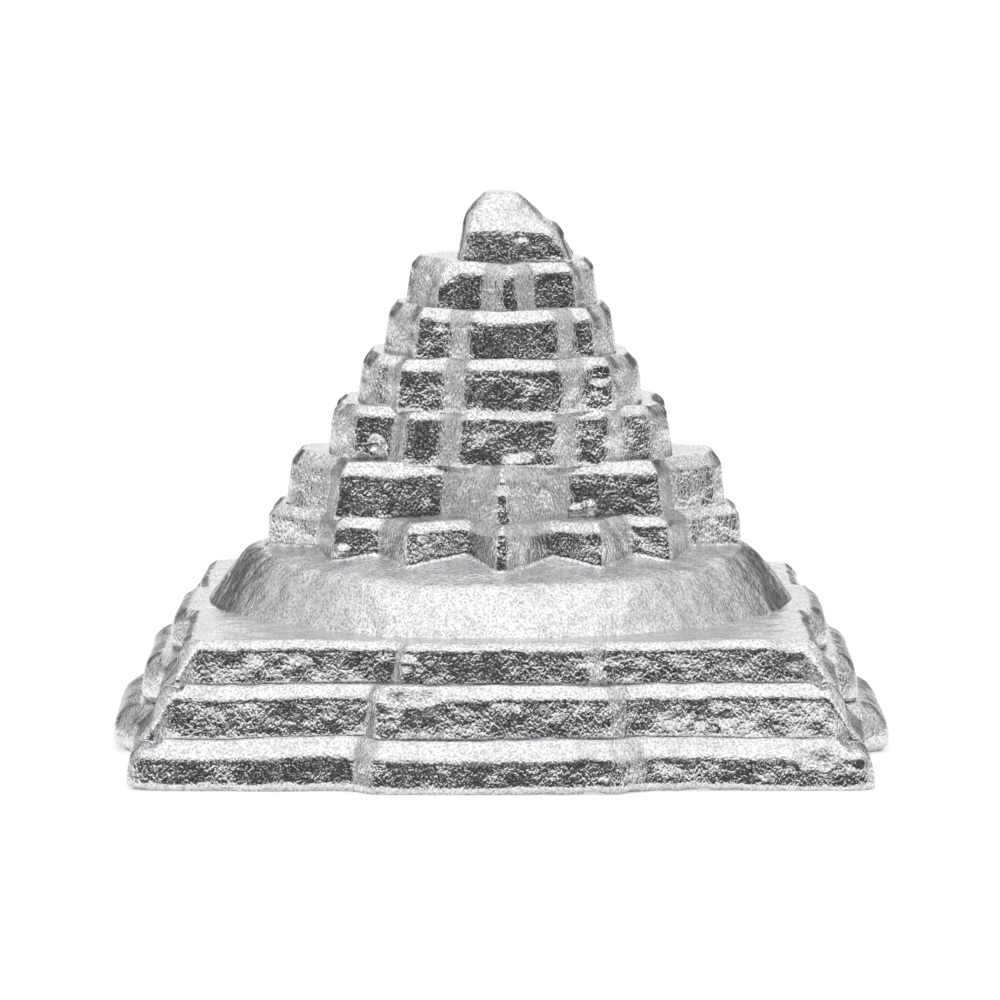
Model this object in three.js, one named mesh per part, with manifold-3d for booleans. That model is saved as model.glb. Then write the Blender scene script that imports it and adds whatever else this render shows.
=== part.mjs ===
// Shri yantra in its raised Meru form: a small silvery casting that stands on an altar or a desk.
// Three square terraces with a gate on each side carry a round mound, a tower of six star-shaped
// storeys and a blunt peak. Each one is a closed solid that rests flat on the one below it.
// Millimetres, +Z up. The origin is the centre of the underside, and the front faces -Y.

import * as THREE from "three";
import Module from "manifold-3d";
import { mergeVertices } from "three/addons/utils/BufferGeometryUtils.js";

const wasm = await Module();
wasm.setup();

// Sizes

// The square terraces, bottom to top. A gate stands out of the middle of each side.
// Its splay is how far each of its two cheeks runs along the side.
const lowerTerrace = {
  name: "bhupura_lower_terrace",
  side: 24.2,
  height: 1.62,
  gateLength: 9.7,
  gateReach: 0.8,
  gateSplay: 0.9,
};
const middleTerrace = {
  name: "bhupura_middle_terrace",
  side: 22.5,
  height: 1.68,
  gateLength: 8.7,
  gateReach: 0.6,
  gateSplay: 0.55,
};
const upperTerrace = {
  name: "bhupura_upper_terrace",
  side: 20.9,
  height: 1.35,
  gateLength: 6.8,
  gateReach: 0.45,
  gateSplay: 0.45,
};
const terraces = [lowerTerrace, middleTerrace, upperTerrace];
const terraceCornerCut = 0.6;
const terraceBatter = 0.14;
const terraceEdgeRadius = 0.45;

// The round mound under the tower, with a steep flank.
const mound = { name: "lotus_mound", footRadius: 9.66, shoulderRadius: 8.4, height: 1.5 };
const moundSides = 72;

// The fourteen-pointed storey, from its front tip round to its side tip, with a notch after each tooth.
// Across is measured from the middle, and reach is how far forward a corner lies.
const storeyOne = {
  name: "star_storey_1",
  height: 1.82,
  tipHalfWidth: 0.18,
  tipReach: 7.3,
  firstNotchAcross: 1.5,
  firstNotchReach: 5.7,
  firstToothAcross: 3.25,
  firstToothReach: 6.4,
  secondNotchAcross: 4.3,
  secondNotchReach: 4.4,
  secondToothAcross: 5.6,
  secondToothReach: 4.4,
  thirdNotchAcross: 5.95,
  thirdNotchReach: 2.5,
  sideToothAcross: 8.0,
  sideToothReach: 1.2,
  waistAcross: 7.4,
};
// It stands on a low cone that falls away to the mound's shoulder. The cone's crown lies inside the
// star, at a share of the distance to the nearest notch.
const coneSlopeDegrees = 14;
const coneCoveredShare = 0.9;

// The upper storeys, bottom to top. Each has a front tooth, a flat shoulder beside it, an inner
// corner behind the shoulder, and a blunt side tooth. A waist is a notch between two side teeth.
const storeyTwo = {
  name: "star_storey_2",
  height: 1.78,
  tipHalfWidth: 0.24,
  tipReach: 6.3,
  cheekAcross: 2.25,
  shoulderAcross: 5.5,
  shoulderReach: 3.95,
  innerAcross: 5.85,
  innerReach: 2.3,
  blockAcross: 7.15,
  blockReach: 1.3,
  sideAcross: 7.5,
  sideReach: 0.65,
  waistAcross: 7.05,
};
const storeyThree = {
  name: "star_storey_3",
  height: 1.74,
  tipHalfWidth: 1.55,
  tipReach: 5.0,
  cheekAcross: 2.45,
  shoulderAcross: 3.45,
  shoulderReach: 4.1,
  innerAcross: 3.8,
  innerReach: 3.2,
  blockAcross: 5.1,
  blockReach: 2.7,
  sideAcross: 5.7,
  sideReach: 1.3,
  waistAcross: 5.3,
};
const storeyFour = {
  name: "star_storey_4",
  height: 1.64,
  tipHalfWidth: 1.57,
  tipReach: 4.4,
  cheekAcross: 2.5,
  shoulderAcross: 3.6,
  shoulderReach: 3.5,
  innerAcross: 3.85,
  innerReach: 2.6,
  blockAcross: 4.45,
  blockReach: 2.1,
  sideAcross: 4.7,
  sideReach: 1.0,
};
const storeyFive = {
  name: "star_storey_5",
  height: 1.58,
  tipHalfWidth: 1.42,
  tipReach: 3.7,
  cheekAcross: 2.2,
  shoulderAcross: 3.0,
  shoulderReach: 2.9,
  innerAcross: 3.2,
  innerReach: 2.0,
  blockAcross: 3.65,
  blockReach: 1.6,
  sideAcross: 3.88,
  sideReach: 0.8,
};
const storeySix = {
  name: "star_storey_6",
  height: 1.54,
  tipHalfWidth: 0.2,
  tipReach: 3.1,
  cheekAcross: 1.0,
  shoulderAcross: 2.3,
  shoulderReach: 2.3,
  innerAcross: 2.5,
  innerReach: 1.4,
  blockAcross: 3.0,
  blockReach: 1.1,
  sideAcross: 3.2,
  sideReach: 0.5,
};
const upperStoreys = [storeyTwo, storeyThree, storeyFour, storeyFive, storeySix];
const storeyBatter = 0.08;
const storeyEdgeRadius = 0.22;

// The blunt peak: an upright eight-sided wall, a little right of the middle, under a rounded crown
// that leans to the left. The crown's flat top is a share of the foot's size.
const peak = {
  name: "bindu_cap",
  frontHalfWidth: 1.45,
  frontReach: 1.6,
  sideAcross: 1.72,
  sideReach: 0.9,
  wallHeight: 1.0,
  crownHeight: 1.15,
  crownShare: 0.25,
  footOffset: 0.36,
  crownOffset: -0.24,
};
const crownSteps = 4;

// Facets round a rounded top edge, and the share of an outline's room that batter and edge may take.
const edgeSteps = 3;
const roomShare = 0.9;

// Finish

// Cast silvery alloy, with the matt skin that the mould leaves.
function castAlloy() {
  return new THREE.MeshStandardMaterial({ color: 0xb9b9bb, roughness: 0.42, metalness: 1 });
}

// Outlines, counter-clockwise from above

function outwardNormal(from, to) {
  return new THREE.Vector2(to.y - from.y, from.x - to.x).normalize();
}

function cornersWithNormals(outline) {
  return outline.map((corner, i) => {
    const before = outwardNormal(outline.at(i - 1), corner);
    const after = outwardNormal(corner, outline[(i + 1) % outline.length]);
    return { corner, before, after };
  });
}

// Moves every side inwards by one distance and keeps the corners sharp.
function insetOutline(outline, distance) {
  return cornersWithNormals(outline).map(({ corner, before, after }) => {
    const mitre = before.clone().add(after);
    return corner.clone().addScaledVector(mitre, -distance / (1 + before.dot(after)));
  });
}

// The inset at which the first side of an outline shrinks to nothing.
function roomInside(outline) {
  const shrink = cornersWithNormals(outline).map(({ before, after }) => {
    return before.cross(after) / (1 + before.dot(after));
  });
  const rooms = outline.map((corner, i) => {
    const next = (i + 1) % outline.length;
    const loss = shrink[i] + shrink[next];
    return loss > 0 ? corner.distanceTo(outline[next]) / loss : Infinity;
  });
  return Math.min(...rooms);
}

// A square with cut corners and a splayed gate in the middle of each side.
function terraceOutline({ side, gateLength, gateReach, gateSplay }) {
  const half = side / 2;
  const gateHalf = gateLength / 2;
  const frontSide = [
    [-half + terraceCornerCut, -half],
    [-gateHalf, -half],
    [-gateHalf + gateSplay, -half - gateReach],
    [gateHalf - gateSplay, -half - gateReach],
    [gateHalf, -half],
    [half - terraceCornerCut, -half],
  ];
  const centre = new THREE.Vector2();
  return [0, 1, 2, 3].flatMap((quarter) => {
    return frontSide.map(([x, y]) => new THREE.Vector2(x, y).rotateAround(centre, (quarter * Math.PI) / 2));
  });
}

// Mirrors the corners between the front and the right side to the other three quarters.
// A waist, where there is one, lies between the two side teeth.
function starOutline(corners, waistAcross) {
  const waist = waistAcross ? [[waistAcross, 0]] : [];
  const mirrored = (list, x, y) => {
    return list.map(([across, reach]) => new THREE.Vector2(across * x, reach * y));
  };
  const backwards = corners.slice().reverse();
  return [
    ...mirrored(corners, 1, -1),
    ...mirrored(waist, 1, 1),
    ...mirrored(backwards, 1, 1),
    ...mirrored(corners, -1, 1),
    ...mirrored(waist, -1, 1),
    ...mirrored(backwards, -1, -1),
  ];
}

// Solids

// Skins a stack of outlines with the same number of corners, and closes its two ends.
function skinRings(rings) {
  const count = rings[0].outline.length;
  const positions = rings.flatMap(({ outline, z }) => outline.flatMap((corner) => [corner.x, corner.y, z]));
  const index = [];
  for (let ring = 0; ring < rings.length - 1; ring += 1) {
    for (let i = 0; i < count; i += 1) {
      const low = ring * count + i;
      const lowNext = ring * count + ((i + 1) % count);
      index.push(low, lowNext, lowNext + count, low, lowNext + count, low + count);
    }
  }
  const lid = (ring, faceUp) => {
    const outline = rings[ring].outline;
    for (const [a, b, c] of THREE.ShapeUtils.triangulateShape(outline, [])) {
      const area = outline[b].clone().sub(outline[a]).cross(outline[c].clone().sub(outline[a]));
      const order = area > 0 === faceUp ? [a, b, c] : [a, c, b];
      index.push(...order.map((corner) => ring * count + corner));
    }
  };
  lid(0, false);
  lid(rings.length - 1, true);
  const geometry = new THREE.BufferGeometry();
  geometry.setAttribute("position", new THREE.Float32BufferAttribute(positions, 3));
  geometry.setIndex(index);
  return geometry;
}

// A plate with leaning walls and a rounded top edge. Where the outline's shortest side
// has no room for both, they are made smaller together.
function plate(outline, height, batter, edgeRadius) {
  const fit = Math.min(1, (roomShare * roomInside(outline)) / (batter + edgeRadius));
  const lean = batter * fit;
  const radius = edgeRadius * fit;
  const rings = [{ outline, z: 0 }];
  for (let step = 0; step <= edgeSteps; step += 1) {
    const angle = (step / edgeSteps) * (Math.PI / 2);
    const distance = lean + radius * (1 - Math.cos(angle));
    rings.push({ outline: insetOutline(outline, distance), z: height - radius * (1 - Math.sin(angle)) });
  }
  return skinRings(rings);
}

function turned(profile, sides) {
  const geometry = new THREE.LatheGeometry(profile, sides);
  geometry.rotateX(Math.PI / 2);
  return geometry;
}

function toSolid(geometry) {
  const bare = geometry.clone();
  bare.deleteAttribute("normal");
  bare.deleteAttribute("uv");
  const merged = mergeVertices(bare);
  const vertProperties = merged.attributes.position.array;
  const triVerts = new Uint32Array(merged.index.array);
  return new wasm.Manifold(new wasm.Mesh({ numProp: 3, vertProperties, triVerts }));
}

function fromSolid(solid) {
  const { vertProperties, triVerts } = solid.getMesh();
  const geometry = new THREE.BufferGeometry();
  geometry.setAttribute("position", new THREE.BufferAttribute(vertProperties, 3));
  geometry.setIndex(new THREE.BufferAttribute(triVerts, 1));
  return geometry;
}

// Storeys

function moundGeometry() {
  const { footRadius, shoulderRadius, height } = mound;
  const profile = [
    new THREE.Vector2(0, 0),
    new THREE.Vector2(footRadius, 0),
    new THREE.Vector2(shoulderRadius, height),
    new THREE.Vector2(0, height),
  ];
  return turned(profile, moundSides);
}

// The cone's foot is the mound's shoulder, and its flat top is covered by the star.
function coneGeometry(starRadius) {
  const crownRadius = coneCoveredShare * starRadius;
  const rise = (mound.shoulderRadius - crownRadius) * Math.tan(THREE.MathUtils.degToRad(coneSlopeDegrees));
  const profile = [
    new THREE.Vector2(0, 0),
    new THREE.Vector2(mound.shoulderRadius, 0),
    new THREE.Vector2(crownRadius, rise),
    new THREE.Vector2(0, rise),
  ];
  return turned(profile, moundSides);
}

function fourteenPointGeometry(star) {
  const corners = [
    [star.tipHalfWidth, star.tipReach],
    [star.firstNotchAcross, star.firstNotchReach],
    [star.firstToothAcross, star.firstToothReach],
    [star.secondNotchAcross, star.secondNotchReach],
    [star.secondToothAcross, star.secondToothReach],
    [star.thirdNotchAcross, star.thirdNotchReach],
    [star.sideToothAcross, star.sideToothReach],
  ];
  const outline = starOutline(corners, star.waistAcross);
  const nearest = Math.min(...outline.map((corner) => corner.length()));
  const starSolid = toSolid(plate(outline, star.height, storeyBatter, storeyEdgeRadius));
  return fromSolid(starSolid.add(toSolid(coneGeometry(nearest))));
}

function upperStoreyGeometry(storey) {
  const corners = [
    [storey.tipHalfWidth, storey.tipReach],
    [storey.cheekAcross, storey.shoulderReach],
    [storey.shoulderAcross, storey.shoulderReach],
    [storey.innerAcross, storey.innerReach],
    [storey.blockAcross, storey.blockReach],
    [storey.sideAcross, storey.sideReach],
  ];
  return plate(starOutline(corners, storey.waistAcross), storey.height, storeyBatter, storeyEdgeRadius);
}

function peakGeometry() {
  const corners = [
    [peak.frontHalfWidth, peak.frontReach],
    [peak.sideAcross, peak.sideReach],
  ];
  const plan = starOutline(corners);
  const section = (share, offset) => {
    return plan.map(({ x, y }) => new THREE.Vector2(x * share + offset, y * share));
  };
  const rings = [{ outline: section(1, peak.footOffset), z: 0 }];
  for (let step = 0; step <= crownSteps; step += 1) {
    const angle = (step / crownSteps) * (Math.PI / 2);
    const share = THREE.MathUtils.lerp(peak.crownShare, 1, Math.cos(angle));
    const offset = THREE.MathUtils.lerp(peak.crownOffset, peak.footOffset, Math.cos(angle));
    const z = peak.wallHeight + peak.crownHeight * Math.sin(angle);
    rings.push({ outline: section(share, offset), z });
  }
  return skinRings(rings);
}

// Assembly, each storey on top of the last

const group = new THREE.Group();
let restHeight = 0;

function stack(name, geometry, height) {
  const faceted = geometry.toNonIndexed();
  faceted.computeVertexNormals();
  const mesh = new THREE.Mesh(faceted, castAlloy());
  mesh.name = name;
  mesh.position.z = restHeight;
  group.add(mesh);
  restHeight += height;
}

for (const terrace of terraces) {
  const geometry = plate(terraceOutline(terrace), terrace.height, terraceBatter, terraceEdgeRadius);
  stack(terrace.name, geometry, terrace.height);
}
stack(mound.name, moundGeometry(), mound.height);
stack(storeyOne.name, fourteenPointGeometry(storeyOne), storeyOne.height);
for (const storey of upperStoreys) {
  stack(storey.name, upperStoreyGeometry(storey), storey.height);
}
stack(peak.name, peakGeometry(), peak.wallHeight + peak.crownHeight);

export default group;
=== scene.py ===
import math

import bmesh
import bpy
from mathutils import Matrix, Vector


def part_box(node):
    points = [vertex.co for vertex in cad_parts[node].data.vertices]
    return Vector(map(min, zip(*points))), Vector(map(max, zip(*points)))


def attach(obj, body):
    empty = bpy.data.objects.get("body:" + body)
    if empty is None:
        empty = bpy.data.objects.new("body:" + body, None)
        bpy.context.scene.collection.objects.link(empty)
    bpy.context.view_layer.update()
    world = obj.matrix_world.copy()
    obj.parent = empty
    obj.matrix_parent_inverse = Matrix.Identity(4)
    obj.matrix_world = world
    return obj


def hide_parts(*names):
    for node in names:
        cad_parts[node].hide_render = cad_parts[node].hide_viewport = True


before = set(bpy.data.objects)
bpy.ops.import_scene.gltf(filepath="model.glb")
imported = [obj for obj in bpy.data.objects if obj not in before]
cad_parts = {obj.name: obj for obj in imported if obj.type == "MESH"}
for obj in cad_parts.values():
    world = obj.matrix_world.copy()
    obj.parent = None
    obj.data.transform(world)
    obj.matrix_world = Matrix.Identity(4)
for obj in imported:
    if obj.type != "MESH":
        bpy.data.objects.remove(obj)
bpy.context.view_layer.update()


# Bhupura, the three square terraces, each with a gate standing out of the middle of every side.
# They were plates in the master pattern and are cast in one with the rest in a soft silvery alloy,
# so their rims are rounded, their walls lean back out of the mould and their corners have run.

MM = 0.001            # a millimetre in metres
UPRIGHT_FOOT = 0.1    # the part of a plate's height that stands upright at its foot
UPRIGHT_EDGE = 0.8    # an edge is upright where it rises by more than this part of its length
LEVEL = 0.9           # a face is level where its normal points up or down by more than this
BEVEL_STEPS = 3


def deselect_all():
    for item in bpy.context.selected_objects:
        item.select_set(False)


def choose(piece):
    deselect_all()
    piece.select_set(True)
    bpy.context.view_layer.objects.active = piece


def begin_edit(piece):
    choose(piece)
    bpy.ops.object.mode_set(mode="EDIT")
    bpy.ops.mesh.select_all(action="DESELECT")


def end_edit():
    bpy.ops.object.mode_set(mode="OBJECT")


def select_faces(piece, wanted):
    """Selects the faces for which wanted(centre, normal) is true, and no others."""
    bpy.ops.mesh.select_mode(type="FACE")
    bpy.ops.mesh.select_all(action="DESELECT")
    mesh = bmesh.from_edit_mesh(piece.data)
    for face in mesh.faces:
        face.select_set(bool(wanted(face.calc_center_median(), face.normal)))
    bmesh.update_edit_mesh(piece.data)


def select_edges(piece, wanted):
    """Selects the edges for which wanted(one end, other end) is true, and no others."""
    bpy.ops.mesh.select_mode(type="EDGE")
    bpy.ops.mesh.select_all(action="DESELECT")
    mesh = bmesh.from_edit_mesh(piece.data)
    for edge in mesh.edges:
        edge.select_set(bool(wanted(edge.verts[0].co, edge.verts[1].co)))
    bmesh.update_edit_mesh(piece.data)


def near(value, target):
    """Whether two heights are the same, to a hundredth of a millimetre."""
    return abs(value - target) < 0.01


def apply_modifier(piece, kind, **settings):
    modifier = piece.modifiers.new(kind.lower(), kind)
    for key, value in settings.items():
        setattr(modifier, key, value)
    bpy.context.view_layer.objects.active = piece
    bpy.ops.object.modifier_apply(modifier=modifier.name)


def add_plate(name, outline, low, high, lean, drop, ledge):
    """Raises a plate over an outline of (x, y) corners, and stays in edit mode.

    Its walls lean back, and round its top a ledge of the given width slopes down to the rim."""
    deselect_all()
    bpy.ops.mesh.primitive_circle_add(
        vertices=len(outline), radius=1, fill_type="NGON", location=(0, 0, low))
    plate = bpy.context.object
    plate.name = name
    bpy.ops.object.transform_apply(location=True, rotation=True, scale=True)
    begin_edit(plate)
    bpy.ops.mesh.select_mode(type="VERT")
    for index, (x, y) in enumerate(outline):
        bpy.ops.mesh.select_all(action="DESELECT")
        mesh = bmesh.from_edit_mesh(plate.data)
        mesh.verts.ensure_lookup_table()
        corner = mesh.verts[index]
        corner.select_set(True)
        bpy.ops.transform.translate(value=(x - corner.co.x, y - corner.co.y, 0))
    upright = UPRIGHT_FOOT * (high - low)
    bpy.ops.mesh.select_all(action="SELECT")
    bpy.ops.mesh.extrude_region_move(TRANSFORM_OT_translate={"value": (0, 0, upright)})
    bpy.ops.mesh.select_all(action="SELECT")
    bpy.ops.mesh.normals_make_consistent(inside=False)
    select_faces(plate, lambda centre, normal: normal.z > LEVEL)
    bpy.ops.mesh.inset(thickness=lean, depth=high - low - upright - drop)
    bpy.ops.mesh.inset(thickness=ledge, depth=drop)
    return plate


def round_edges(piece, rim, upright, rounding):
    """Bevels the upright edges of a plate, then its rim at the given height."""
    select_edges(piece, lambda a, b: abs(a.z - b.z) > UPRIGHT_EDGE * (a - b).length)
    bpy.ops.mesh.bevel(offset=upright, segments=BEVEL_STEPS, affect="EDGES", clamp_overlap=True)
    select_edges(piece, lambda a, b: near(a.z, rim) and near(b.z, rim))
    bpy.ops.mesh.bevel(offset=rounding, segments=BEVEL_STEPS, affect="EDGES", clamp_overlap=True)


def cloud_texture(name, size, colour):
    texture = bpy.data.textures.new(name, "CLOUDS")
    texture.noise_scale = size
    texture.noise_depth = 1
    texture.cloud_type = "COLOR" if colour else "GRAYSCALE"
    return texture


# How uneven the casting is: the width and height in mm of the slow waves of the pattern, of the
# lumps of the mould's skin and of its coarse grain, and the way that each one pushes the skin.
UNEVENNESS = (
    (cloud_texture("slow_waves", 4.5, True), 0.26, "RGB_TO_XYZ"),
    (cloud_texture("lumps", 0.8, False), 0.09, "NORMAL"),
    (cloud_texture("coarse_grain", 0.3, False), 0.016, "NORMAL"),
)


def merge_hidden(piece, hidden):
    """Makes the faces that nobody sees into a few large ones."""
    begin_edit(piece)
    select_faces(piece, hidden)
    bpy.ops.mesh.dissolve_faces(use_verts=True)
    end_edit()


def cast_skin(piece, voxel, soften, underside, softer=None, passes=0):
    """Fuses a shape into one skin of small faces, softens its edges and makes it uneven.

    The underside becomes one face, out to the given radius, while it is still even. The faces for
    which softer(centre, normal) is true are softened further, by that many passes."""
    apply_modifier(piece, "REMESH", mode="VOXEL", voxel_size=voxel, use_smooth_shade=True)
    apply_modifier(piece, "SMOOTH", factor=0.5, iterations=soften)
    if softer:
        begin_edit(piece)
        select_faces(piece, softer)
        bpy.ops.mesh.vertices_smooth(factor=0.5, repeat=passes)
        end_edit()
    merge_hidden(
        piece,
        lambda centre, normal: normal.z < -LEVEL and math.hypot(centre.x, centre.y) < underside)
    for texture, strength, direction in UNEVENNESS:
        apply_modifier(
            piece, "DISPLACE", texture=texture, strength=strength, mid_level=0.5,
            direction=direction, texture_coords="LOCAL")


def drag_skin(piece, distance, push, radius):
    """Pushes the point for which distance(point) is least, and its surroundings less and less."""
    bpy.ops.mesh.select_mode(type="VERT")
    bpy.ops.mesh.select_all(action="DESELECT")
    mesh = bmesh.from_edit_mesh(piece.data)
    nearest = min(mesh.verts, key=lambda vertex: distance(vertex.co))
    nearest.select_set(True)
    bpy.ops.transform.translate(
        value=push, use_proportional_edit=True, proportional_edit_falloff="SMOOTH",
        proportional_size=radius)


def press_marks(piece, marks):
    """Pushes the skin in or out near each mark's place, fading out over its radius, all in mm."""
    begin_edit(piece)
    for place, radius, push in marks:
        target = Vector(place)
        drag_skin(piece, lambda point: (point - target).length, push, radius)
    end_edit()


def linear(hex_colour):
    """An sRGB hex colour as linear red, green, blue and alpha."""
    channels = [int(hex_colour[i:i + 2], 16) / 255 for i in (1, 3, 5)]
    return tuple(c / 12.92 if c <= 0.04045 else ((c + 0.055) / 1.055) ** 2.4 for c in channels) + (1.0,)


def add_node(tree, kind, links=None, inputs=None, **settings):
    """Adds a node with its settings, its input values and its links, by name or number."""
    node = tree.nodes.new(kind)
    for key, value in settings.items():
        setattr(node, key, value)
    for key, value in (inputs or {}).items():
        node.inputs[key].default_value = value
    for key, socket in (links or {}).items():
        tree.links.new(socket, node.inputs[key])
    return node


# Tin-based casting alloy, poured in a fine sand mould and left as cast. The grains of the mould
# print shallow pits and crystals on it, which glitter dark and light on a wall and are plain white
# on a ledge. Wear keeps the high spots bright, and the pits are a little dull.
GRAIN_WIDTH = 0.13 * MM
CRYSTAL_WIDTH = 0.2 * MM
PIT_WIDTH = 0.36 * MM
CLUSTER_WIDTH = 0.7 * MM
DULL_PATCH_WIDTH = 1.6 * MM
RELIEF_DEPTH = 0.0135 * MM
CRYSTAL_SHARE = 0.3      # what the crystals and the pits each have of the relief's depth
PIT_SHARE = 0.3
PIT_DULLNESS = 0.3
GRAIN_NARROWER = 1.6     # the grains stand upright on the walls, narrower across than tall
BRIGHT_ALLOY = "#f3f3f4"
DULL_ALLOY = "#bcbcbf"


def make_cast_alloy():
    material = bpy.data.materials.new("tin_alloy_as_cast")
    material.use_nodes = True
    tree = material.node_tree
    tree.nodes.clear()
    coordinates = add_node(tree, "ShaderNodeTexCoord").outputs["Object"]
    place = add_node(
        tree, "ShaderNodeMapping", {"Vector": coordinates},
        {"Scale": (GRAIN_NARROWER, GRAIN_NARROWER, 1.0)}).outputs["Vector"]
    grain = add_node(
        tree, "ShaderNodeTexNoise", {"Vector": place},
        {"Scale": 1 / GRAIN_WIDTH, "Detail": 1.2, "Roughness": 0.5, "Distortion": 0.35})
    crystal = add_node(
        tree, "ShaderNodeTexVoronoi", {"Vector": place}, {"Scale": 1 / CRYSTAL_WIDTH},
        feature="SMOOTH_F1")
    hollows = add_node(
        tree, "ShaderNodeTexNoise", {"Vector": place},
        {"Scale": 1 / PIT_WIDTH, "Detail": 1.5, "Roughness": 0.5})
    pits = add_node(
        tree, "ShaderNodeMapRange", {"Value": hollows.outputs["Fac"]},
        {"From Min": 0.54, "From Max": 0.72}, interpolation_type="SMOOTHSTEP")
    patches = add_node(
        tree, "ShaderNodeTexNoise", {"Vector": place},
        {"Scale": 1 / DULL_PATCH_WIDTH, "Detail": 3.0, "Roughness": 0.55})
    specks = add_node(
        tree, "ShaderNodeMapRange", {"Value": grain.outputs["Fac"]},
        {"From Min": 0.3, "From Max": 0.75}, interpolation_type="SMOOTHSTEP")
    thick = add_node(
        tree, "ShaderNodeTexNoise", {"Vector": place},
        {"Scale": 1 / CLUSTER_WIDTH, "Detail": 1.0, "Roughness": 0.5})
    cover = add_node(
        tree, "ShaderNodeMapRange", {"Value": thick.outputs["Fac"]},
        {"From Min": 0.4, "From Max": 0.62, "To Min": 0.6, "To Max": 1.0})
    clusters = add_node(
        tree, "ShaderNodeMath", {0: specks.outputs["Result"], 1: cover.outputs["Result"]},
        operation="MULTIPLY")
    raised = add_node(
        tree, "ShaderNodeMath", {0: crystal.outputs["Distance"], 2: clusters.outputs["Value"]},
        {1: CRYSTAL_SHARE}, operation="MULTIPLY_ADD")
    relief = add_node(
        tree, "ShaderNodeMath", {0: pits.outputs["Result"], 2: raised.outputs["Value"]},
        {1: -PIT_SHARE}, operation="MULTIPLY_ADD")
    bump = add_node(
        tree, "ShaderNodeBump", {"Height": relief.outputs["Value"]},
        {"Strength": 1.0, "Distance": RELIEF_DEPTH})
    high_spots = add_node(
        tree, "ShaderNodeMapRange", {"Value": grain.outputs["Fac"]},
        {"From Min": 0.3, "From Max": 0.55})
    clean = add_node(
        tree, "ShaderNodeMapRange", {"Value": patches.outputs["Fac"]},
        {"From Min": 0.25, "From Max": 0.65, "To Min": 0.6, "To Max": 1.0})
    worn = add_node(
        tree, "ShaderNodeMath", {0: high_spots.outputs["Result"], 1: clean.outputs["Result"]},
        operation="MULTIPLY")
    bright = add_node(
        tree, "ShaderNodeMath", {0: pits.outputs["Result"], 2: worn.outputs["Value"]},
        {1: -PIT_DULLNESS}, operation="MULTIPLY_ADD", use_clamp=True)
    colour = add_node(
        tree, "ShaderNodeMix", {"Factor": bright.outputs["Value"]},
        {6: linear(DULL_ALLOY), 7: linear(BRIGHT_ALLOY)}, data_type="RGBA")
    roughness = add_node(
        tree, "ShaderNodeMapRange", {"Value": grain.outputs["Fac"]},
        {"From Min": 0.3, "From Max": 0.7, "To Min": 0.24, "To Max": 0.16})
    shader = add_node(
        tree, "ShaderNodeBsdfPrincipled",
        {
            "Base Color": colour.outputs[2],
            "Roughness": roughness.outputs["Result"],
            "Normal": bump.outputs["Normal"],
        },
        {"Metallic": 1.0})
    add_node(tree, "ShaderNodeOutputMaterial", {"Surface": shader.outputs["BSDF"]})
    return material


cast_alloy = make_cast_alloy()


def finish_piece(piece, node):
    """Turns millimetres into metres, shades the piece smooth in the cast alloy, hangs it on the root
    body and hides the CAD node that it stands for.
    """
    choose(piece)
    piece.scale = (MM, MM, MM)
    bpy.ops.object.transform_apply(location=True, rotation=True, scale=True)
    bpy.ops.object.shade_smooth()
    piece.data.materials.clear()
    piece.data.materials.append(cast_alloy)
    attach(piece, "root")
    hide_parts(node)


def node_size(node):
    """A CAD node's foot, top and half width across, in mm."""
    low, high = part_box(node)
    return low[2] / MM, high[2] / MM, high[0] / MM


# Sizes in mm.
SEAT = 0.16           # how far each storey runs down into the one below
TERRACE_LEAN = 0.14   # how far the walls lean back
TERRACE_VOXEL = 0.08  # width of the skin's small faces
TERRACE_PASSES = 4    # how many times the skin is softened
CHEEK_ROUNDING = 0.2
RIM_ROUNDING = 0.12
# Node, gate length, gate reach, the gate's left and right cheek, the cut of the corners, and the
# drop and width of the sloping ledge, in mm. The cheeks are uneven, as the pattern was made by hand.
TERRACES = (
    ("bhupura_lower_terrace", 9.7, 0.8, 0.7, 1.2, 0.4, 0.55, 0.6),
    ("bhupura_middle_terrace", 8.7, 0.6, 0.35, 0.85, 0.5, 0.38, 0.43),
    ("bhupura_upper_terrace", 6.8, 0.45, 0.3, 0.65, 0.55, 0.2, 0.3),
)
STEEP = 0.3           # the normal of a wall points up or down by less than this,
FLATTISH = 0.6        # and that of a nearly flat face by more than this
CORNER_RUN = 0.8      # how far the metal of a corner has run out over the ledge below, each way
CORNER_ZONE = 1.0     # a corner's faces lie this near to the line of both sides,
CORNER_RIM = 0.3      # and the edges of its rim this near
CORNER_TOE = 0.03     # how thick the run is where it ends
GATE_START = 0.05     # what stands out from the sides by more than this is a gate
GATE_PASSES = 90      # how much the side gates are rounded, more than those in front
GATE_SPARE = 0.2      # what that rounding takes off them
BOTTOM_EDGE = 0.22    # rounding of the lowest edge
FLAT_BELOW = 0.06     # what is lower than this is pressed flat on the underside
HIDDEN_FOOT = 0.12    # how far up from its foot a piece is hidden in the one below
UNDERSIDE_RING = 0.5  # width of the ring of small faces that each underside keeps
TOP_RING = 1.5        # and each terrace's top, round the next terrace,
MOUND_COVER = 6.2     # while the mound covers the last one out to here

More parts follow.
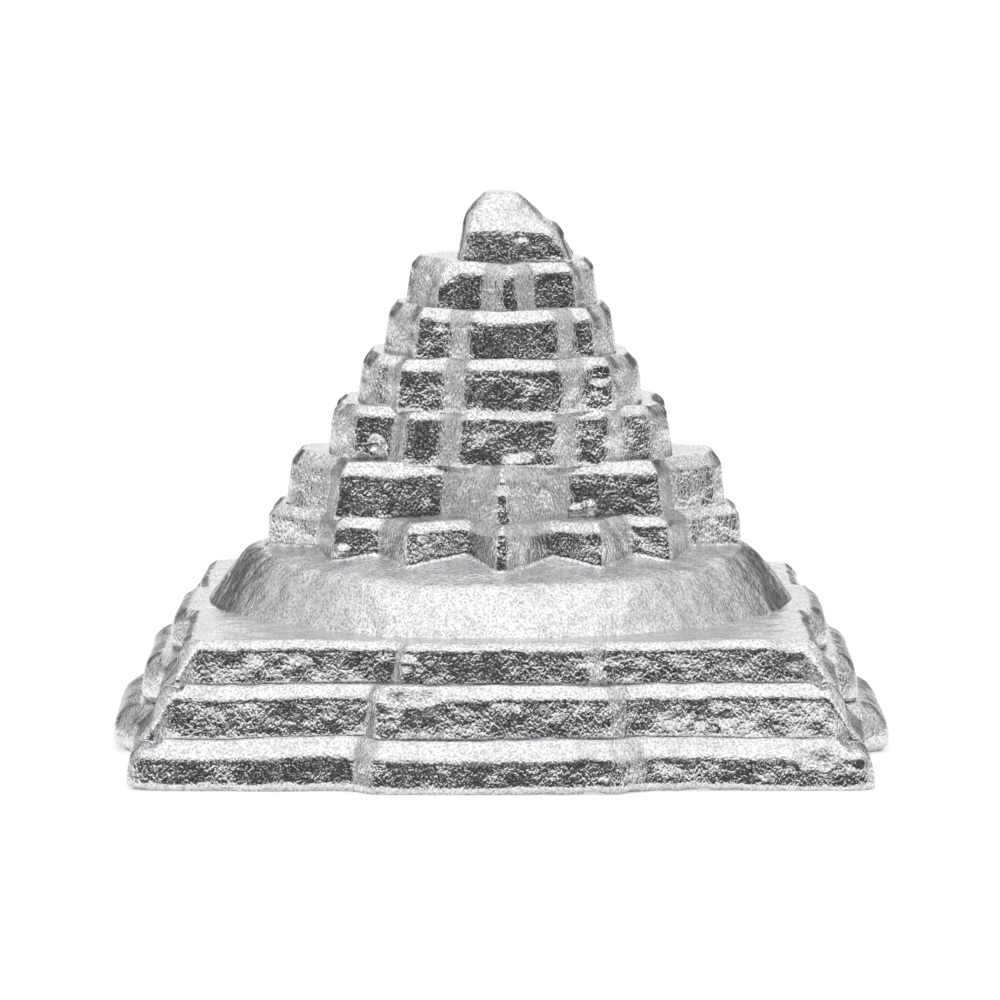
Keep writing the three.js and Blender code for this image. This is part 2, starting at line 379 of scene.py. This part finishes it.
# Scoops and lumps that the mould left: place, radius and push in mm.
TERRACE_MARKS = {
    "bhupura_lower_terrace": (
        ((9.9, -12.0, 1.1), 0.55, (0, 0.04, -0.2)),
        ((10.5, -12.0, 1.1), 0.55, (0, 0.04, -0.26)),
    ),
    "bhupura_middle_terrace": (
        ((-3.7, -11.75, 2.9), 0.75, (0, 0.05, -0.25)),
        ((-3.0, -11.75, 2.9), 0.75, (0, 0.05, -0.25)),
        ((-2.3, -11.75, 2.9), 0.75, (0, 0.05, -0.2)),
        ((6.5, -11.25, 2.15), 0.3, (0, -0.1, 0.03)),
        ((6.9, -11.25, 1.8), 0.3, (0, -0.1, 0.03)),
        ((7.3, -11.25, 2.25), 0.3, (0, -0.08, 0)),
    ),
    "bhupura_upper_terrace": (
        ((-3.1, -10.9, 4.0), 0.35, (0, 0.12, 0)),
        ((9.6, -10.45, 4.5), 0.9, (0, 0.1, -0.12)),
    ),
}


def terrace_outline(half, gate, reach, left, right, cut):
    """The corners of a terrace, going round from the left end of the front side."""
    outline = []
    for quarter in range(4):
        front = half + reach + (GATE_SPARE if quarter % 2 else 0)
        side = [
            (cut - half, -half),
            (-gate / 2, -half),
            (left - gate / 2, -front),
            (gate / 2 - right, -front),
            (gate / 2, -half),
            (half - cut, -half),
        ]
        for _ in range(quarter):
            side = [(-y, x) for x, y in side]
        outline += side
    return outline


def slump_corners(terrace, low, rim, half):
    """Lets each cut corner run down in a slope onto the ledge below."""
    for across, forward in ((1, 1), (1, -1), (-1, 1), (-1, -1)):
        select_faces(
            terrace,
            lambda centre, normal: abs(normal.z) < STEEP and min(
                across * centre.x, forward * centre.y) > half - CORNER_ZONE)
        bpy.ops.mesh.extrude_region_move(
            TRANSFORM_OT_translate={"value": (across * CORNER_RUN, forward * CORNER_RUN, 0)})
        select_edges(
            terrace,
            lambda a, b: near(a.z, rim) and near(b.z, rim) and min(
                across * a.x, forward * a.y, across * b.x, forward * b.y) > half - CORNER_RIM)
        bpy.ops.transform.translate(value=(0, 0, low + SEAT + CORNER_TOE - rim))


for i, (node, gate, reach, left, right, cut, drop, ledge) in enumerate(TERRACES):
    foot, top, half_width = node_size(node)
    half = half_width - reach
    low = foot - SEAT if i else foot
    outline = terrace_outline(half, gate, reach, left, right, cut)
    terrace = add_plate(node + "_cast", outline, low, top, TERRACE_LEAN, drop, ledge)
    if i:
        slump_corners(terrace, low, top - drop, half)
    round_edges(terrace, top - drop, CHEEK_ROUNDING, RIM_ROUNDING)
    if i == 0:
        select_edges(terrace, lambda a, b: near(a.z, 0) and near(b.z, 0))
        bpy.ops.mesh.bevel(offset=BOTTOM_EDGE, segments=BEVEL_STEPS, affect="EDGES")
    end_edit()
    cast_skin(
        terrace, TERRACE_VOXEL, TERRACE_PASSES, half - UNDERSIDE_RING,
        lambda centre, normal: abs(centre.x) > half + GATE_START, GATE_PASSES)
    press_marks(terrace, TERRACE_MARKS[node])
    if i == 0:
        begin_edit(terrace)
        select_faces(terrace, lambda centre, normal: centre.z < FLAT_BELOW)
        bpy.ops.transform.resize(value=(1, 1, 0), center_override=(0, 0, 0))
        end_edit()
    covered = half - TOP_RING if i < 2 else MOUND_COVER
    merge_hidden(
        terrace,
        lambda centre, normal: abs(normal.z) > FLATTISH and (
            centre.z < low + HIDDEN_FOOT or max(abs(centre.x), abs(centre.y)) < covered))
    finish_piece(terrace, node)


# Lotus mound, a low round dome that carries the tower. It was turned as a disc in the pattern and
# is cast solid with the terrace below. Its flanks stand a little higher than its front.

MOUND_VOXEL = 0.08
MOUND_PASSES = 6
ROUND_STEPS = 96
SHOULDER = 8.4           # radius of the mound's top, in mm, as are the other sizes here
SHOULDER_ROUNDING = 0.35
SHOULDER_RING = 1.2      # how much of the top shows round the tower
FLANK_RISE = 0.35
FLANK_SPREAD = 0.02
FLANK_REACH = 6          # how far round the shoulder that rise fades out
MOUND_BULGE = 0.08       # how far the flank swells out, and how high that is above its foot
BULGE_HEIGHT = 0.7


def raise_flanks(piece):
    """Lifts the shoulder at the left and right and spreads it, less towards the front and back."""
    for side in (-1, 1):
        drag_skin(
            piece, lambda point: -side * point.x - point.z, (side * FLANK_SPREAD, 0, FLANK_RISE),
            FLANK_REACH)


foot, top, mound_reach = node_size("lotus_mound")
low = foot - SEAT - FLANK_RISE
flank_slope = (mound_reach - SHOULDER) / (top - foot)
deselect_all()
bpy.ops.mesh.primitive_cone_add(
    vertices=ROUND_STEPS, radius1=mound_reach + flank_slope * (foot - low), radius2=SHOULDER,
    depth=top - low, location=(0, 0, (low + top) / 2))
mound = bpy.context.object
mound.name = "lotus_mound_cast"
bpy.ops.object.transform_apply(location=True, rotation=True, scale=True)
begin_edit(mound)
bpy.ops.mesh.select_all(action="SELECT")
bpy.ops.mesh.bisect(plane_co=(0, 0, foot + BULGE_HEIGHT), plane_no=(0, 0, 1))
swell = 1 + MOUND_BULGE / mound_reach
bpy.ops.transform.resize(value=(swell, swell, 1), center_override=(0, 0, foot))
raise_flanks(mound)
select_edges(mound, lambda a, b: min(a.z, b.z) > top - 0.01)
bpy.ops.mesh.bevel(offset=SHOULDER_ROUNDING, segments=BEVEL_STEPS, affect="EDGES")
end_edit()
cast_skin(mound, MOUND_VOXEL, MOUND_PASSES, mound_reach - UNDERSIDE_RING)
merge_hidden(
    mound,
    lambda centre, normal: abs(normal.z) > FLATTISH and (
        centre.z < low + HIDDEN_FOOT or math.hypot(centre.x, centre.y) < SHOULDER - SHOULDER_RING))
finish_piece(mound, "lotus_mound")


# The two lowest storeys of the tower, whose long teeth stand out like the points of a star. The
# teeth were cut as a plate in the pattern, and the first storey has a low cone around its foot.

FIRST_LEAN = 0.12     # how far the walls of the lowest storey lean back, in mm
STOREY_LEAN = 0.16    # and those of the others
STOREY_VOXEL = 0.07
STOREY_PASSES = 3
STOREY_LEDGE = 0.32   # width of the sloping ledge round each storey's top, in mm
TOOTH_ROUNDING = 0.26
TOWER_HIDDEN = 0.1    # how far up from their foot the tower's pieces are hidden, in mm


def doubled_outline(front):
    """A front half, given from left to right as (x, forward), and its mirror image behind it."""
    return [(x, -forward) for x, forward in front] + list(reversed(front))


def add_storey(node, front, lean, drop):
    """A storey of the tower with rounded teeth, and the height of its foot."""
    foot, top, _ = node_size(node)
    low = foot - SEAT
    storey = add_plate(node + "_cast", doubled_outline(front), low, top, lean, drop, STOREY_LEDGE)
    round_edges(storey, top - drop, TOOTH_ROUNDING, RIM_ROUNDING)
    end_edit()
    return storey, low


def join_to(piece, addition):
    choose(piece)
    addition.select_set(True)
    bpy.ops.object.join()


def finish_storey(storey, node, low, underside, covered, marks):
    """Casts a storey, hangs it on the root body and hides its node. Its top is covered out to the given
    radius.
    """
    cast_skin(storey, STOREY_VOXEL, STOREY_PASSES, underside)
    press_marks(storey, marks)
    merge_hidden(
        storey,
        lambda centre, normal: abs(normal.z) > FLATTISH and (
            centre.z < low + TOWER_HIDDEN or math.hypot(centre.x, centre.y) < covered))
    finish_piece(storey, node)


# Corners of the front half from left to right, across and forward in mm.
FIRST_STOREY = (
    (-7.75, 0.5), (-7.85, 1.2), (-6.1, 2.5), (-5.55, 4.7), (-4.05, 4.7), (-3.03, 6.4),
    (-1.1, 5.7), (-0.08, 7.3), (0.24, 7.3), (1.75, 5.7), (3.3, 6.4), (4.38, 4.7),
    (5.64, 4.7), (6.3, 2.5), (8.2, 1.2), (8.1, 0.5),
)
SECOND_STOREY = (
    (-7.15, 0.65), (-6.95, 1.3), (-5.75, 2.3), (-5.5, 4.2), (-2.0, 4.2), (-0.08, 6.3),
    (0.24, 6.3), (2.43, 4.2), (5.4, 4.2), (5.8, 2.3), (7.3, 1.3), (7.6, 0.65),
)
# Lumps and pits that the mould left: place, radius and push in mm.
FIRST_STOREY_MARKS = (
    ((-5.2, -4.7, 6.8), 0.35, (0, -0.16, 0.05)),
    ((-2.5, -6.3, 7.6), 0.25, (0, -0.08, 0)),
)
SECOND_STOREY_MARKS = (
    ((0.1, -6.3, 9.2), 0.4, (0, -0.12, 0.08)),
    ((2.5, -4.2, 8.15), 0.3, (0, -0.15, 0.05)),
    ((3.0, -4.2, 8.2), 0.3, (0, -0.15, 0.05)),
)
FIRST_DROP = 0.3      # height of the sloping ledge of each of the two, in mm
SECOND_DROP = 0.42
FIRST_COVER = 3.9     # radius out to which the next storey covers each one's top, in mm
SECOND_COVER = 3.4
CONE_SLOPE = math.radians(14)
CONE_TOP = 4.0        # radius of the cone's top, under the teeth, in mm
CONE_LAP = 0.02       # how far the cone stands out over the mound's shoulder, in mm
SKIRT = 0.3           # how far it comes down over that shoulder, in mm

storey, low = add_storey("star_storey_1", FIRST_STOREY, FIRST_LEAN, FIRST_DROP)
cone_foot = low + SEAT
cone_reach = SHOULDER + CONE_LAP
deselect_all()
bpy.ops.mesh.primitive_cone_add(
    vertices=ROUND_STEPS, radius1=cone_reach + SKIRT * flank_slope, radius2=cone_reach,
    depth=SKIRT, location=(0, 0, cone_foot - SKIRT / 2))
cone = bpy.context.object
bpy.ops.object.transform_apply(location=True, rotation=True, scale=True)
begin_edit(cone)
select_faces(cone, lambda centre, normal: normal.z > LEVEL)
cone_rise = (cone_reach - CONE_TOP) * math.tan(CONE_SLOPE)
bpy.ops.mesh.extrude_region_move(TRANSFORM_OT_translate={"value": (0, 0, cone_rise)})
shrink = CONE_TOP / cone_reach
bpy.ops.transform.resize(value=(shrink, shrink, 1), center_override=(0, 0, 0))
select_edges(cone, lambda a, b: near(a.z, cone_foot) and near(b.z, cone_foot))
bpy.ops.mesh.bevel(offset=SHOULDER_ROUNDING, segments=BEVEL_STEPS, affect="EDGES")
raise_flanks(cone)
end_edit()
join_to(storey, cone)
finish_storey(
    storey, "star_storey_1", low, cone_reach - UNDERSIDE_RING, FIRST_COVER, FIRST_STOREY_MARKS)

storey, low = add_storey("star_storey_2", SECOND_STOREY, STOREY_LEAN, SECOND_DROP)
finish_storey(storey, "star_storey_2", low, SECOND_COVER, SECOND_COVER, SECOND_STOREY_MARKS)


# The four upper storeys, each smaller than the one below, with flat-fronted teeth. They are stepped
# like the rest and cast in one with it. The teeth were cut by hand in the pattern and are uneven.

# Node, drop of the ledge, covered radius, corners of the front half, and lumps and pits, in mm.
UPPER_STOREYS = (
    ("star_storey_3", 0.27, 3.0, (
        (-5.65, 0.6), (-5.8, 1.3), (-5.0, 2.7), (-3.63, 3.1), (-3.29, 3.85), (-2.12, 3.85),
        (-1.26, 4.8), (1.78, 4.8), (2.65, 3.85), (3.58, 3.85), (4.1, 3.1), (5.17, 2.7),
        (5.85, 1.3), (5.6, 0.6),
    ), (
        ((0.3, -4.8, 9.7), 0.5, (0, -0.2, 0)),
        ((0.9, -4.8, 9.7), 0.6, (0, -0.22, 0)),
        ((-4.15, -3.0, 10.25), 0.35, (0, 0.15, 0)),
        ((-3.9, -3.0, 10.0), 0.25, (0, -0.12, 0)),
    )),
    ("star_storey_4", 0.33, 2.4, (
        (-4.75, 1.0), (-4.4, 2.1), (-3.64, 2.6), (-3.56, 3.5), (-2.06, 3.5), (-1.19, 4.4),
        (1.89, 4.4), (2.89, 3.5), (3.76, 3.5), (4.07, 2.6), (4.55, 2.1), (4.75, 1.0),
    ), (
        ((3.3, -3.5, 12.6), 0.5, (0, 0.1, -0.12)),
    )),
    ("star_storey_5", 0.36, 1.8, (
        (-3.9, 0.8), (-3.6, 1.6), (-3.15, 2.0), (-2.9, 2.9), (-1.8, 2.9), (-1.0, 3.7),
        (1.79, 3.7), (2.53, 2.9), (3.23, 2.9), (3.42, 2.0), (3.8, 1.6), (3.95, 0.8),
    ), (
        ((-2.0, -2.9, 14.3), 0.4, (0, -0.04, 0)),
    )),
    ("star_storey_6", 0.32, 1.1, (
        (-3.15, 0.3), (-2.9, 1.0), (-2.45, 1.4), (-2.1, 2.3), (-0.67, 2.3), (0.2, 3.1),
        (0.6, 3.1), (1.3, 2.3), (2.57, 2.3), (2.85, 1.4), (3.25, 1.1), (3.35, 0.5),
    ), (
        ((-2.2, -2.2, 16.2), 0.8, (0, 0.05, -0.22)),
    )),
)

for node, drop, covered, front, marks in UPPER_STOREYS:
    storey, low = add_storey(node, front, STOREY_LEAN, drop)
    finish_storey(storey, node, low, covered, covered, marks)


# Bindu cap, the blunt peak, of the same metal and cast in one with the tower. It has a flat front,
# a crown that leans to the left and a low shoulder on the right, all softened by the mould.

CAP_VOXEL = 0.06
CAP_PASSES = 32
CAP_CORNER = 0.4
CAP_UNDERSIDE = 1.0              # radius of the single face under it, in mm
CORNER_RISE = 0.5                # its corner edges rise by more than this part of their length
CAP_FOOT = (-1.4, 2.5, 3.3)      # left end, right end and depth
# Height above the foot, left end, right end and depth of the cap's section, going up.
CAP_LEVELS = (
    (1.0, -1.25, 2.05, 2.95),
    (1.4, -1.15, 1.45, 2.35),
    (1.85, -0.85, 1.0, 1.6),
    (2.2, -0.5, 0.5, 0.9),
)
LOBE_PLACE = (1.45, -0.35, 0.6)  # the low right shoulder, its height above the foot
LOBE_RADII = (0.82, 1.2, 0.8)
CAP_MARKS = (
    ((0.7, -1.6, 17.0), 0.25, (0, 0.07, 0)),
    ((0.8, -1.6, 16.85), 0.2, (0, -0.05, 0)),
    ((0.9, -0.9, 18.0), 0.6, (0, 0.1, -0.1)),
)

foot, _, _ = node_size("bindu_cap")
low = foot - SEAT
left, right, depth = CAP_FOOT
deselect_all()
bpy.ops.mesh.primitive_cube_add(
    size=1, location=((left + right) / 2, 0, low + SEAT / 2), scale=(right - left, depth, SEAT))
cap = bpy.context.object
cap.name = "bindu_cap_cast"
bpy.ops.object.transform_apply(location=True, rotation=True, scale=True)
begin_edit(cap)
select_faces(cap, lambda centre, normal: normal.z > LEVEL)
last_height = 0
for height, new_left, new_right, new_depth in CAP_LEVELS:
    shift = (new_left + new_right - left - right) / 2
    bpy.ops.mesh.extrude_region_move(
        TRANSFORM_OT_translate={"value": (shift, 0, height - last_height)})
    bpy.ops.transform.resize(
        value=((new_right - new_left) / (right - left), new_depth / depth, 1),
        center_override=((new_left + new_right) / 2, 0, foot + height))
    left, right, depth, last_height = new_left, new_right, new_depth, height
select_edges(cap, lambda a, b: abs(a.z - b.z) > CORNER_RISE * (a - b).length)
bpy.ops.mesh.bevel(offset=CAP_CORNER, segments=BEVEL_STEPS, affect="EDGES", clamp_overlap=True)
end_edit()
deselect_all()
lobe_x, lobe_y, lobe_height = LOBE_PLACE
bpy.ops.mesh.primitive_uv_sphere_add(
    segments=32, ring_count=16, radius=1, location=(lobe_x, lobe_y, foot + lobe_height),
    scale=LOBE_RADII)
join_to(cap, bpy.context.object)
cast_skin(cap, CAP_VOXEL, CAP_PASSES, CAP_UNDERSIDE)
press_marks(cap, CAP_MARKS)
merge_hidden(cap, lambda centre, normal: normal.z < -FLATTISH and centre.z < low + TOWER_HIDDEN)
finish_piece(cap, "bindu_cap")


# White table and soft light, as a small casting is lit for a catalogue. A light tent is brighter
# above than near the table. The front walls mirror a dark card, and the flanks two grey ones.

TABLE_WIDTH = 1.6
TABLE_COLOUR = "#efefef"
TABLE_LIFT = 0.4      # what the eye, the metal and glass see above the table's own light
FRONT_CARD_COLOUR = "#383838"
BACK_CARD_COLOUR = "#747474"
TENT_HORIZON = 0.5
TENT_ZENITH = 0.9
AIM = Vector((0, 0, 7.97 * MM))
# Name, colour, width, height and place in metres, and the way that the card faces.
CARDS = (
    ("front_card", FRONT_CARD_COLOUR, 1.3, 0.23, (0, -0.27, 0.115), (0, 1, 0)),
    ("back_card", BACK_CARD_COLOUR, 0.16, 0.09, (-0.115, 0.17, 0.06), (0.3, -1, 0)),
    ("back_card", BACK_CARD_COLOUR, 0.16, 0.09, (0.115, 0.17, 0.06), (-0.3, -1, 0)),
)
# Name, width, height and place in metres, and how bright the box's face is.
SOFTBOXES = (
    ("top_softbox", 0.3, 0.44, (0, -0.07, 0.2), 0.36),
    ("back_softbox", 0.2, 0.3, (0, 0.3, 0.14), 0.45),
)


def matt(name, hex_colour):
    material = bpy.data.materials.new(name)
    material.use_nodes = True
    tree = material.node_tree
    tree.nodes.clear()
    surface = add_node(tree, "ShaderNodeBsdfDiffuse", inputs={"Color": linear(hex_colour)})
    add_node(tree, "ShaderNodeOutputMaterial", {"Surface": surface.outputs["BSDF"]})
    return material


def white_table():
    """Matt white, lifted to a white background for the eye and for what mirrors it."""
    material = matt("table_white", TABLE_COLOUR)
    tree = material.node_tree
    rays = add_node(tree, "ShaderNodeLightPath").outputs
    mirrored = add_node(
        tree, "ShaderNodeMath", {0: rays["Is Glossy Ray"], 1: rays["Is Transmission Ray"]},
        operation="MAXIMUM")
    seen = add_node(
        tree, "ShaderNodeMath", {0: rays["Is Camera Ray"], 1: mirrored.outputs["Value"]},
        operation="MAXIMUM")
    lift = add_node(
        tree, "ShaderNodeMath", {0: seen.outputs["Value"]}, {1: TABLE_LIFT}, operation="MULTIPLY")
    glow = add_node(tree, "ShaderNodeEmission", {"Strength": lift.outputs["Value"]})
    both = add_node(
        tree, "ShaderNodeAddShader",
        {0: tree.nodes["Diffuse BSDF"].outputs["BSDF"], 1: glow.outputs["Emission"]})
    tree.links.new(both.outputs["Shader"], tree.nodes["Material Output"].inputs["Surface"])
    return material


deselect_all()
bpy.ops.mesh.primitive_plane_add(size=TABLE_WIDTH, location=(0, 0, 0))
table = bpy.context.object
table.name = "table"
table.data.materials.append(white_table())

world = bpy.data.worlds.new("light_tent")
bpy.context.scene.world = world
world.use_nodes = True
sky = world.node_tree
sky.nodes.clear()
direction = add_node(sky, "ShaderNodeTexCoord").outputs["Generated"]
height = add_node(sky, "ShaderNodeSeparateXYZ", {"Vector": direction})
strength = add_node(
    sky, "ShaderNodeMapRange", {"Value": height.outputs["Z"]},
    {"From Min": 0.0, "From Max": 1.0, "To Min": TENT_HORIZON, "To Max": TENT_ZENITH})
glow = add_node(
    sky, "ShaderNodeBackground", {"Strength": strength.outputs["Result"]}, {"Color": (1, 1, 1, 1)})
add_node(sky, "ShaderNodeOutputWorld", {"Surface": glow.outputs["Background"]})


def add_card(name, hex_colour, width, height, place, facing):
    """A flat card that the metal mirrors, out of the camera's sight."""
    bpy.ops.mesh.primitive_plane_add(size=1, location=place)
    card = bpy.context.object
    card.name = name
    card.scale = (width, height, 1)
    card.rotation_mode = "QUATERNION"
    card.rotation_quaternion = Vector(facing).to_track_quat("Z", "Y")
    card.data.materials.append(matt(name, hex_colour))
    card.visible_camera = False


for card in CARDS:
    add_card(*card)


def add_softbox(name, width, height, place, radiance):
    """A soft lamp that faces the object, out of the camera's sight."""
    lamp = bpy.data.lights.new(name, "AREA")
    lamp.shape = "RECTANGLE"
    lamp.size = width
    lamp.size_y = height
    lamp.energy = radiance * math.pi * width * height
    box = bpy.data.objects.new(name, lamp)
    bpy.context.collection.objects.link(box)
    box.location = place
    box.rotation_mode = "QUATERNION"
    box.rotation_quaternion = (AIM - Vector(place)).to_track_quat("-Z", "Y")
    box.visible_camera = False


for softbox in SOFTBOXES:
    add_softbox(*softbox)


# Camera, at the photograph's low angle and with a long lens, so that the terraces hardly narrow
# towards the back. The casting stands in the middle of the frame.

FRAME_PIXELS = 1000
LENS_PIXELS = 6800
SENSOR_WIDTH = 36     # mm
CAMERA_DISTANCE = 0.230
CAMERA_ELEVATION = math.radians(7.0)

camera_data = bpy.data.cameras.new("camera")
camera_data.sensor_width = SENSOR_WIDTH
camera_data.lens = SENSOR_WIDTH * LENS_PIXELS / FRAME_PIXELS
camera_data.clip_start = 0.01
camera_data.clip_end = 10
camera = bpy.data.objects.new("camera", camera_data)
bpy.context.collection.objects.link(camera)
towards_camera = Vector((0, -math.cos(CAMERA_ELEVATION), math.sin(CAMERA_ELEVATION)))
camera.location = AIM + towards_camera * CAMERA_DISTANCE
camera.rotation_mode = "QUATERNION"
camera.rotation_quaternion = (-towards_camera).to_track_quat("-Z", "Y")
bpy.context.scene.camera = camera
bpy.context.scene.view_settings.view_transform = "Standard"
